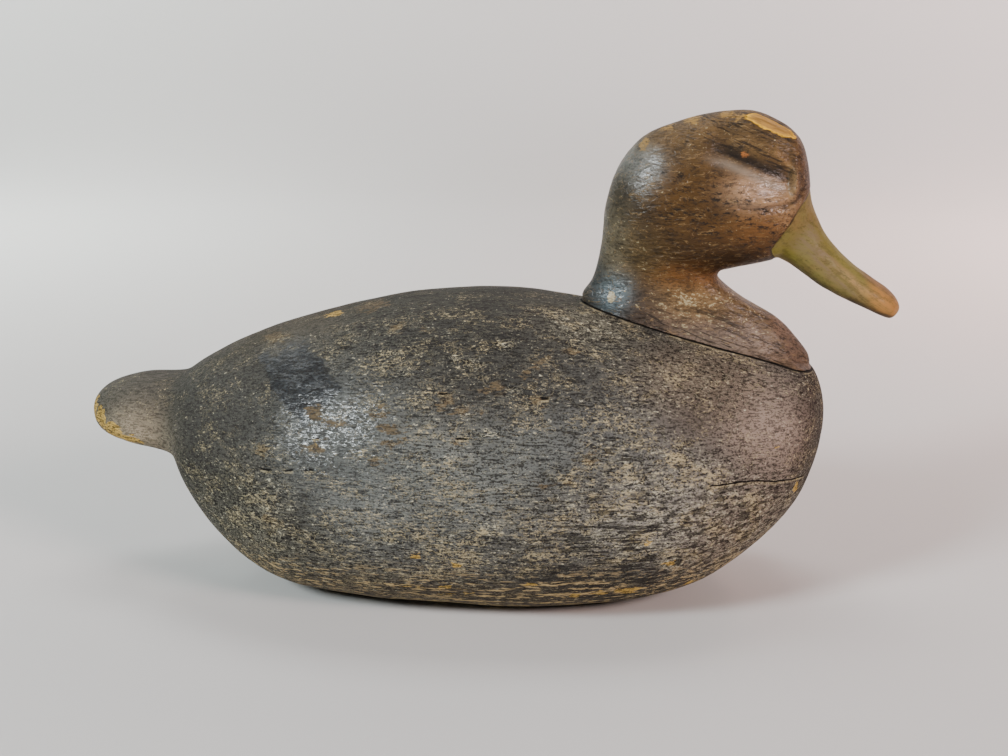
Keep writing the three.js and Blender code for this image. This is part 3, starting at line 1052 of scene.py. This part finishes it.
    # Raised grain under the coat, and blisters in the coat.
    surface = plus(tree, times(tree, grain, 0.9), times(tree, light, 0.9))
    surface = minus(tree, surface, check)
    tree.links.new(relief(tree, surface, 0.9, 1.1), shader.inputs["Normal"])
    blisters = plus(tree, times(tree, grain, 0.25), times(tree, long_grain, 0.4))
    blisters = plus(tree, blisters, times(tree, flakes, 0.7))
    tree.links.new(relief(tree, blisters, 1, 0.8), shader.inputs["Coat Normal"])
    return finish


def dashes(tree):
    """Short dashes in rows along the bird, seen from its side."""
    where = put(tree, "TexCoord").outputs["Object"]
    where = put(tree, "Mapping", where, None, (math.radians(-90), 0, 0), (130, 1, 340)).outputs[0]
    wobble = put(tree, "TexNoise", where).outputs[1]
    wobble = put(tree, "VectorMath", wobble, (0.5, 0.5, 0.5), operation="SUBTRACT").outputs[0]
    where = put(tree, "VectorMath", where, wobble, operation="ADD").outputs[0]
    cells = put(tree, "TexVoronoi", where, voronoi_dimensions="2D")
    cells.inputs["Scale"].default_value = 1
    return between(tree, cells.outputs["Distance"], 0.1, 0.24, 0.85, 0)


def window(tree, value, start, end, soft):
    """1 from start to end, fading over soft either side of each."""
    opening = between(tree, value, start - soft, start + soft)
    return times(tree, opening, between(tree, value, end - soft, end + soft, 1, 0))


def bill_paint(tree, forward, fine, clouds):
    """Olive paint with its wear and painted shade along its lower edge, from the root at 0 forward to the
    tip.
    """
    share = kept(tree, "bill_share")
    rubbed = mixed(tree, speckle(tree, (60, 260, 420), 3, 0.6, 0.3, 0.62), fine, 0.35)
    patterns = {"clouds": clouds, "rubbed": rubbed}
    olive = over(tree, between(tree, clouds, 0.35, 0.65), OLIVE_GREEN, OLIVE_BROWN)
    olive = over(tree, between(tree, fine, 0.42, 0.5, 0.2, 0), olive, SOOT_AND_SHADE)
    for heights, distances, pattern, ends, strengths, colour in BILL_WEAR_AND_SHADE:
        up = window(tree, share, *heights, SOFT_SHARE)
        out = window(tree, forward, *distances, SOFT_DISTANCE)
        streak = between(tree, patterns[pattern], *ends, *strengths)
        olive = over(tree, times(tree, times(tree, up, out), streak), olive, colour)
    return over(tree, between(tree, rubbed, 0.4, 0.5, 0.22, 0), olive, SOOT_AND_SHADE)


def head_finish():
    """Worn brown paint with an olive bill, and painted light and shade round the brow hollow."""
    finish, tree, shader = new_finish("head_paint")
    grit = speckle(tree, (600, 800, 1000), 2, 0.7)
    grain = speckle(tree, (60, 440, 760), 3, 0.6, 0, 0.38)
    mottle = speckle(tree, (150, 300, 450), 4, 0.7)
    crackle = speckle(tree, (110, 280, 430), 2, 0.5, 0.8)
    clouds = speckle(tree, (40, 50, 60), 4, 0.65)
    forward = kept(tree, "bill")
    ragged = swing(tree, mottle, 8)
    fine = mixed(tree, grit, mottle, 0.5)
    wrinkle = ridge(tree, crackle, 0.03)

    # The coat by zones, dark pores, light wrinkles of golden crackle with painted glints on their ridges,
    # and pale flecks.
    coat = strengthen(tree, kept_colour(tree, "coat"), between(tree, clouds, 0.3, 0.7, 0.7, 1.3))
    coat = over(tree, between(tree, fine, 0.42, 0.5, 0.5, 0), coat, SOOT_AND_SHADE)
    coat = over(tree, times(tree, wrinkle, between(tree, mottle, 0.42, 0.55, 0.05, 0.55)), coat, WRINKLE_AND_GLINT)
    fleck = plus(tree, fine, swing(tree, kept(tree, "flecks"), 0.2))
    coat = over(tree, between(tree, fleck, 0.555, 0.61, 0, 0.8), coat, TAN)

    # Round the hollow: painted shadow under the brow, painted sheen below it, a painted highlight along the
    # lip and painted shade in its crease.
    coat = over(tree, times(tree, kept(tree, "shadow"), 0.85), coat, SOOT_AND_SHADE)
    coat = over(tree, times(tree, kept(tree, "shine"), 0.6), coat, BROW_SHEEN)
    # The lip is lightened as a painted highlight and its crease darkened as painted shade.
    lip = times(tree, kept(tree, "lip"), between(tree, fine, 0.42, 0.56, 0.1, 0.7))
    coat = over(tree, lip, coat, LIP_HIGHLIGHT)
    crease = times(tree, kept(tree, "crease"), between(tree, mottle, 0.42, 0.58, 0.8, 0.35))
    coat = over(tree, crease, coat, SOOT_AND_SHADE)
    streaks = times(tree, between(tree, grain, 0.38, 0.47, 0.7, 0), kept(tree, "slant"))
    coat = over(tree, streaks, coat, SOOT_AND_SHADE)
    coat = over(tree, times(tree, dashes(tree), kept(tree, "dashes")), coat, SOOT_AND_SHADE)
    ochre = between(tree, plus(tree, kept(tree, "ochre"), ragged), 0, 1, 0, 0.8)
    coat = over(tree, times(tree, ochre, between(tree, fine, 0.45, 0.53, 0.15, 1)), coat, OCHRE)
    dot = between(tree, plus(tree, kept(tree, "dot"), times(tree, ragged, 0.9)), 0, 0.7)
    coat = over(tree, times(tree, dot, between(tree, fine, 0.42, 0.54, 0.35, 0.95)), coat, EYE_RED)

    # The bill and the dark line at its root, the bare crown, and the dark joint at the seam.
    coat = over(tree, between(tree, forward, -0.2, 0.3), coat, bill_paint(tree, forward, fine, clouds))
    root = between(tree, maths(tree, "ABSOLUTE", forward), 0.2, 0.8, 1, 0)
    coat = over(tree, times(tree, root, between(tree, clouds, 0.4, 0.6, 0.15, 0.75)), coat, SOOT_AND_SHADE)
    bare = plus(tree, kept(tree, "bare"), times(tree, ragged, 0.3))
    wood = over(tree, between(tree, bare, 0.3, 1.1), CROWN_EDGE, CROWN_WOOD)
    wood = strengthen(tree, wood, between(tree, grain, 0.35, 0.6, 0.65, 1.1))
    coat = over(tree, between(tree, bare, 0, 0.4), coat, wood)
    coat = over(tree, between(tree, kept(tree, "seam"), 0.4, 0.7, 0.9, 0), coat, SOOT_AND_SHADE)
    tree.links.new(coat, shader.inputs["Base Color"])

    # The head shines, the bill less and the bare crown not at all.
    shine = between(tree, kept(tree, "gloss"), 0, 1, 0.22, 1)
    shine = times(tree, shine, between(tree, forward, -0.5, 0.5, 1, 0.25))
    shine = times(tree, shine, between(tree, bare, -0.5, 0, 1, 0))
    tree.links.new(shine, shader.inputs["Coat Weight"])
    shader.inputs["Coat Roughness"].default_value = 0.2
    shader.inputs["Roughness"].default_value = 0.6
    shader.inputs["Specular IOR Level"].default_value = 0.12
    height = plus(tree, mixed(tree, crackle, fine, 0.4), times(tree, wrinkle, 0.12))
    height = times(tree, height, between(tree, forward, 0, 1, 1, 0.35))
    surface = relief(tree, height, 0.9, 1.4)
    tree.links.new(surface, shader.inputs["Normal"])
    tree.links.new(surface, shader.inputs["Coat Normal"])
    return finish


paint(body, body_finish())
paint(head, head_finish())

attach(body, "root")
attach(head, "root")
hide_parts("body")
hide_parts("head")

# The studio, in metres: a pale floor that sweeps up behind, a cool soft light on the left and a warm one on
# the right.
FLOOR_WIDTH = 8
FLOOR_FRONT = -4
FLOOR_BACK = 1.2
SWEEP_RADIUS = 0.8
SWEEP_STEPS = 12
WALL_HEIGHT = 4
FLOOR_COLOUR = (0.595, 0.595, 0.585)

# Each light has a name, a place, what it is aimed at, a size, a power in watts, a colour and
# a spread in degrees.
LIGHTS = [
    ("left_soft_light", (-1.14, -1.2, 1.1), (0, 0, 0.1), (0.45, 0.42), 40, (0.9, 0.98, 1), 180),
    ("right_soft_light", (1.45, -1.15, 1), (0, 0, 0.1), (0.55, 0.4), 39, (1, 0.77, 0.73), 180),
    ("top_soft_light", (0, 0.4, 1.5), (0, 0, 0), (0.8, 0.5), 8.5, (1, 0.97, 0.96), 180),
    ("wall_light", (-1.8, 0.5, 1.5), (-1.3, 2, 0.9), (1, 0.6), 33, (0.92, 1, 0.97), 110),
    ("wall_light", (1.8, 0.5, 1.5), (1.3, 2, 0.9), (1, 0.6), 44, (1, 0.76, 0.74), 110),
    ("floor_light", (-0.95, 1, 1.2), (-0.72, 0.78, 0), (0.5, 0.5), 5.4, (0.95, 1, 0.97), 68),
    ("floor_light", (0.95, 1, 1.2), (0.72, 0.78, 0), (0.5, 0.5), 6.8, (1, 0.66, 0.6), 68),
]
ROOM_COLOUR = (0.8, 0.8, 0.8)
ROOM_LIGHT = 0.08

# The camera faces the bird's right side, a little forward of its middle, and looks slightly down. Its places
# are in metres, its lens and the width of its picture in millimetres.
CAMERA_PLACE = (0.071483, -0.711045, 0.308158)
CAMERA_AIM = (0.009275, 0, 0.103490)
CAMERA_LENS = 53.571
CAMERA_SENSOR = 36


def backdrop():
    """A floor whose back edge is drawn up in a quarter circle and on into a wall."""
    deselect()
    bpy.ops.mesh.primitive_plane_add(size=1)
    sheet = bpy.context.object
    sheet.name = "backdrop"
    bpy.ops.object.mode_set(mode="EDIT")
    mesh = bmesh.from_edit_mesh(sheet.data)
    for vertex in mesh.verts:
        vertex.co = Vector((vertex.co.x * FLOOR_WIDTH, FLOOR_BACK if vertex.co.y > 0 else FLOOR_FRONT, 0))
    mesh.select_mode = {"EDGE"}
    for edge in mesh.edges:
        edge.select = all(v.co.y > 0 for v in edge.verts)
    mesh.select_flush_mode()
    bmesh.update_edit_mesh(sheet.data)
    for step in range(SWEEP_STEPS):
        before, after = (math.radians(90 * turn / SWEEP_STEPS) for turn in (step, step + 1))
        back = SWEEP_RADIUS * (math.sin(after) - math.sin(before))
        up = SWEEP_RADIUS * (math.cos(before) - math.cos(after))
        bpy.ops.mesh.extrude_region_move(TRANSFORM_OT_translate={"value": (0, back, up)})
    bpy.ops.mesh.extrude_region_move(TRANSFORM_OT_translate={"value": (0, 0, WALL_HEIGHT)})
    bpy.ops.object.mode_set(mode="OBJECT")
    bpy.ops.object.shade_smooth()
    return sheet


def turned(place, aim):
    """The turn of a lamp or camera at place that looks at aim."""
    return (Vector(aim) - Vector(place)).to_track_quat("-Z", "Y").to_euler()


def soft_light(name, place, aim, size, power, colour, spread):
    deselect()
    bpy.ops.object.light_add(type="AREA", location=place)
    lamp = bpy.context.object
    lamp.name = name
    lamp.rotation_euler = turned(place, aim)
    lamp.data.shape = "RECTANGLE"
    lamp.data.size, lamp.data.size_y = size
    lamp.data.energy = power
    lamp.data.color = colour
    lamp.data.spread = math.radians(spread)


floor = backdrop()
stage_paint, _, stage_shader = new_finish("stage_paint")
stage_shader.inputs["Base Color"].default_value = (*FLOOR_COLOUR, 1)
stage_shader.inputs["Roughness"].default_value = 0.9
paint(floor, stage_paint)

for light in LIGHTS:
    soft_light(*light)

world = bpy.data.worlds.new("studio")
bpy.context.scene.world = world
world.use_nodes = True
world.node_tree.nodes["Background"].inputs["Color"].default_value = (*ROOM_COLOUR, 1)
world.node_tree.nodes["Background"].inputs["Strength"].default_value = ROOM_LIGHT

bpy.ops.object.camera_add(location=CAMERA_PLACE)
camera = bpy.context.object
camera.name = "camera"
camera.rotation_euler = turned(camera.location, CAMERA_AIM)
camera.data.lens = CAMERA_LENS
camera.data.sensor_width = CAMERA_SENSOR
bpy.context.scene.camera = camera
